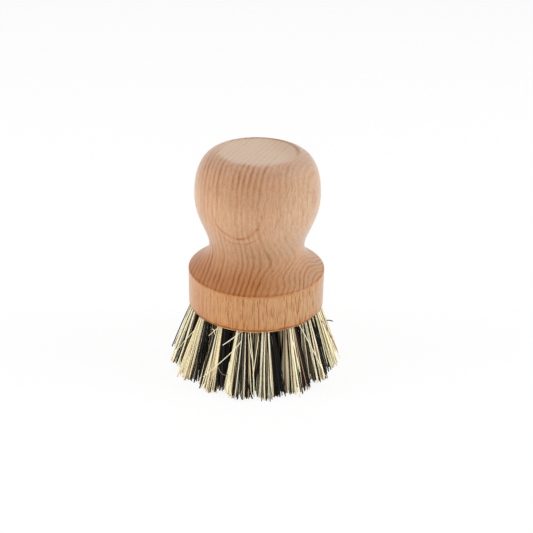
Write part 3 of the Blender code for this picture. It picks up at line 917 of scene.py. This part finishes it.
def tuftTree(values):
    inputs = {
        "Fibre Count": ("NodeSocketInt", values["count"]),
        "Seed": ("NodeSocketInt", 0),
        "Paleness": ("NodeSocketFloat", 0.5),
        "Black From": ("NodeSocketFloat", 2.0),  # outside the tuft, so none unless it is set
        "Black To": ("NodeSocketFloat", 2.0),
        "Tilt": ("NodeSocketFloat", 0.0),
        "Sides": ("NodeSocketInt", values["sides"]),
        "Steps": ("NodeSocketInt", values["steps"]),
        "Material": ("NodeSocketMaterial", None),
    }
    shapes = {
        "Root Radius": "rootRadius",
        "Tip Reach": "tipReach",
        "Tip Width": "tipWidth",
        "Root Depth": "rootDepth",
        "Length": "length",
        "Uneven Tips": "unevenTips",
        "Uneven Bunches": "unevenBunches",
        "Wander": "wander",
        "Astray": "astray",
        "Bunching": "bunching",
        "Bow": "bow",
        "Stripes": "stripes",
        "Thickness": "thickness",
    }
    for label, key in shapes.items():
        inputs[label] = ("NodeSocketFloat", values[key])
    tree, graph, wires = newGeometryTree("fibreTuft", inputs)
    points = graph.shape("Points", {"Count": wires["Fibre Count"]})
    line = graph.shape("CurvePrimitiveLine", {"End": (0, 0, -1)})
    line = graph.shape("ResampleCurve", {"Curve": line, "Count": wires["Steps"]})
    placed = graph.shape("InstanceOnPoints", {"Points": points, "Instance": line})
    numbered = stored(graph, placed, "fibreNumber", graph.shape("InputIndex", {}), "INT", "INSTANCE")
    curves = graph.shape("RealizeInstances", {"Geometry": numbered})
    number = recalled(graph, "fibreNumber", "INT")
    along = graph.shape("SplineParameter", {})

    # each draw has a number of its own, and each pattern below moves with the seed by its own step
    draws = ("tipX", "tipY", "short", "bowX", "bowY", "thick", "tone", "odd", "crooked", "oddness")

    def chance(name, low=0.0, high=1.0):
        drawn = {2: low, 3: high, 7: number, 8: wires["Seed"] * 31 + (draws.index(name) + 1)}
        return graph.node("FunctionNodeRandomValue", {"data_type": "FLOAT"}, drawn, 1)

    # fibres stand in the hole like the seeds of a sunflower, x outwards and y sideways
    golden = math.pi * (3 - math.sqrt(5))
    angle = number * golden + wires["Seed"] * 1.7
    share = ((number + 0.5) / wires["Fibre Count"]).math("SQRT")
    discX, discY = angle.math("COSINE") * share, angle.math("SINE") * share
    rootX, rootY = discX * wires["Root Radius"], discY * wires["Root Radius"]

    # they cling together in bunches that open like a fan
    bunchPlace = graph.xyz(discX * 1.1, discY * 1.6, wires["Seed"] * 5.3)
    push = graph.noise(bunchPlace, 1.2, 1.0, output="Color")
    pushX, pushY, pushZ = graph.parts(push)
    crooked = chance("crooked").math("POWER", 9.0) * wires["Astray"] + wires["Wander"]
    strayX, strayY = chance("tipX", -1.0) * crooked, chance("tipY", -1.0) * crooked
    tipX = discX * wires["Tip Reach"] + (pushX - 0.5) * wires["Bunching"] + strayX
    tipY = discY * wires["Tip Width"] + (pushY - 0.5) * wires["Bunching"] + strayY
    short = chance("short")
    shorter = short * short * short * wires["Uneven Tips"] + pushZ.band(0.4, 0.75) * wires["Uneven Bunches"]
    drop = wires["Length"] - shorter
    sine, cosine = wires["Tilt"].math("SINE"), wires["Tilt"].math("COSINE")
    tipZ = -(drop + tipX * sine) / cosine

    curve = along * (1 - along) * 4
    bowX, bowY = (chance(name, -1.0) * wires["Bow"] * curve for name in ("bowX", "bowY"))
    mouth = wires["Root Depth"] / (wires["Root Depth"] - tipZ)  # where the fibre leaves the wood
    spread = ((along - mouth) / (1 - mouth)).math("MAXIMUM", 0.0)
    spot = graph.xyz(
        rootX + (tipX - rootX) * spread + bowX,
        rootY + (tipY - rootY) * spread + bowY,
        wires["Root Depth"] + (tipZ - wires["Root Depth"]) * along,
    )
    curves = graph.shape("SetPosition", {"Geometry": curves, "Position": spot})

    # black and cream take turns across the tuft, and where they meet they mix
    stripePlace = graph.xyz(discX * 0.6, discY * wires["Stripes"], wires["Seed"] * 3.7)
    stripe = graph.noise(stripePlace, 1.0, 1.0) + (wires["Paleness"] - 0.5) * 0.42
    blackFrom, blackTo, edge = wires["Black From"], wires["Black To"], values["spanEdge"]
    black = discY.band(blackFrom - edge, blackFrom) * (1 - discY.band(blackTo, blackTo + edge))
    stripe = stripe - black * values["spanStrength"]
    creamTone = values["creamTone"]
    tone = stripe.band(*values["stripeEdge"]) * creamTone + chance("tone", 0.0, 1 - creamTone)
    odd = chance("odd").math("GREATER_THAN", values["oddFrom"])
    tone = tone + (1 - tone * 2) * odd * chance("oddness", 0.4)
    thick = wires["Thickness"] * chance("thick", *values["thicknesses"])
    thick = thick * (1 + along * 0.2) * (0.88 + tone * 0.3)
    curves = stored(graph, curves, "fibreTone", tone)
    curves = stored(graph, curves, "alongFibre", along)
    closeTree(graph, sweepTubes(graph, wires, curves, thick))
    return tree


def makeTufts(values, material):
    tree = tuftTree(values)
    made = []
    for ring, row in turnedBlock["rings"].items():
        radius, tilt = ringPlace(row)
        for index in range(row["count"]):
            angle = 2 * math.pi * (index + 0.5) / row["count"]
            mouth = Vector((radius * math.cos(angle), radius * math.sin(angle), faceHeight))
            place = Matrix.Translation(mouth) @ Euler((0, -tilt, angle)).to_matrix().to_4x4()
            name = f"{ring}_{index + 1:02d}"
            seed, paleness = values["looks"][ring][index]
            settings = {"Seed": seed, "Paleness": paleness, "Tilt": tilt, "Material": material}
            if name in values["blackSpans"]:
                settings["Black From"], settings["Black To"] = values["blackSpans"][name]
            tuft = runTree(tree, bpy.data.meshes.new("blank"), settings, "fibres_" + name)
            tuft.data.transform(place)
            tuft.data.shade_smooth()
            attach(tuft, "root")
            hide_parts("tuft_" + name)
            made.append(tuft)
    return made


fibreMaterial = makeFibreMaterial(fibres)
tufts = makeTufts(fibres, fibreMaterial)
print(len(tufts), "tufts", sum(len(tuft.data.polygons) for tuft in tufts), "faces")


# Stray fibres

strays = {
    "lift": 0.0005,
    "thickness": 0.00018,
    "steps": 10,
    "sides": 5,
    "mouth": 0.0236,  # how far the outer tufts reach from the axis at the wood, and at their tips
    "tips": 0.0318,
    # each runs through three points: the way round from the front in degrees, the height in
    # millimetres, and how many lifts it stands proud
    "paths": [
        {"points": ((-11.5, 24.4, -3), (-14.8, 22.9, 1), (-26.4, 18.2, 1)), "tone": 0.95, "size": 0.85},
        {"points": ((-12.5, 20.8, -4), (-16.7, 17.4, 1), (-37.6, 5.3, 1)), "tone": 0.86, "size": 0.8},
        {"points": ((-27.2, 10.5, 1), (-23.1, 8.7, 2), (-19.2, 8.7, 1)), "tone": 0.53, "size": 0.8},
        {"points": ((-40.8, 19.7, 1), (-37.0, 21.6, 2), (-33.5, 23.8, -2)), "tone": 0.70, "size": 0.7},
        {"points": ((-38.6, 22.6, 2), (-36.9, 22.2, 1), (-35.9, 20.6, 0)), "tone": 0.95, "size": 0.7},
        {"points": ((-19.4, 12.5, -1), (-18.4, 9.0, 1), (-14.9, 1.2, 1)), "tone": 0.80, "size": 1.2},
        {"points": ((-6.2, 23.0, -1), (-4.4, 19.2, 1), (-2.3, 15.1, 1)), "tone": 0.80, "size": 0.7},
        {"points": ((-5.6, 8.4, 0), (-3.6, 4.8, 1), (-1.3, 1.3, 1)), "tone": 0.05, "size": 1.5},
        {"points": ((2.8, 22.8, 0), (0.6, 16.0, 1), (-1.3, 9.1, 1)), "tone": 0.62, "size": 0.8},
        {"points": ((30.5, 23.8, -2), (32.2, 16.0, 1), (33.4, 8.2, 1)), "tone": 0.98, "size": 1.0},
        {"points": ((42.4, 23.8, -2), (49.5, 13.0, 1), (55.3, 2.3, 1)), "tone": 0.97, "size": 1.0},
        {"points": ((-59.7, 18.3, 0), (-67.5, 12.5, 1), (-75.3, 6.7, 1)), "tone": 0.80, "size": 0.7},
        {"points": ((71.0, 24.6, -3), (80.7, 13.6, 1), (91.2, 0.9, 1)), "tone": 0.565, "size": 1.4},
        {"points": ((92.5, 15.0, 1), (96.0, 14.0, 3), (98.5, 12.8, 5)), "tone": 0.05, "size": 1.2},
    ],
}


def strayPoint(values, row):
    turn, height, lifts = math.radians(row[0]), row[1] / 1000, row[2] * values["lift"]
    fall = (faceHeight - height) / faceHeight
    radius = values["mouth"] + (values["tips"] - values["mouth"]) * fall + lifts
    return Vector((radius * math.sin(turn), -radius * math.cos(turn), height))


def strayTree(values):
    inputs = {"Sides": ("NodeSocketInt", values["sides"]), "Material": ("NodeSocketMaterial", None)}
    tree, graph, wires = newGeometryTree("strayFibres", inputs)
    curves = graph.shape("MeshToCurve", {"Mesh": wires["Geometry"]})
    closeTree(graph, sweepTubes(graph, wires, curves, recalled(graph, "thickness")))
    return tree


def makeStrays(values, material):
    spots, edges, tones, sizes, alongs = [], [], [], [], []
    steps = values["steps"]
    for path in values["paths"]:
        first, middle, last = (strayPoint(values, row) for row in path["points"])
        handle = middle * 2 - (first + last) / 2  # so that the curve passes through the middle point
        for step in range(steps):
            share = step / (steps - 1)
            near, far = first.lerp(handle, share), handle.lerp(last, share)
            if step:
                edges.append((len(spots) - 1, len(spots)))
            spots.append(near.lerp(far, share))
            tones.append(path["tone"])
            sizes.append(values["thickness"] * path["size"])
            alongs.append(share)
    lines = bpy.data.meshes.new("strayLines")
    lines.from_pydata(spots, edges, [])
    for name, numbers in (("fibreTone", tones), ("thickness", sizes), ("alongFibre", alongs)):
        lines.attributes.new(name, "FLOAT", "POINT").data.foreach_set("value", numbers)
    made = runTree(strayTree(values), lines, {"Material": material}, "strayFibres")
    made.data.shade_smooth()
    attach(made, "root")
    return made


stray = makeStrays(strays, fibreMaterial)
print("stray fibres", len(stray.data.polygons), "faces")


# Anchors

anchorWire = {
    "bright": (0.58, 0.58, 0.60),
    "dull": (0.40, 0.39, 0.38),
    "drawnScale": 2400.0,
    "roughness": 0.32,
}


def makeWireMaterial(values):
    material, graph, shader = newMaterial("anchorWire")
    place = graph.node("ShaderNodeTexCoord", {}, {}, "Object")
    drawn = graph.noise(place, values["drawnScale"], 2.0)
    colour = graph.mixColour(drawn * 0.3, (*values["bright"], 1), (*values["dull"], 1))
    feed(graph, colour, shader, "Base Color")
    feed(graph, values["roughness"] + drawn * 0.12, shader, "Roughness")
    shader.inputs["Metallic"].default_value = 1.0
    return material


wireMaterial = makeWireMaterial(anchorWire)
for name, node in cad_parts.items():
    if name.startswith("anchor"):
        node.data.materials.clear()
        node.data.materials.append(wireMaterial)
print("anchors finished")
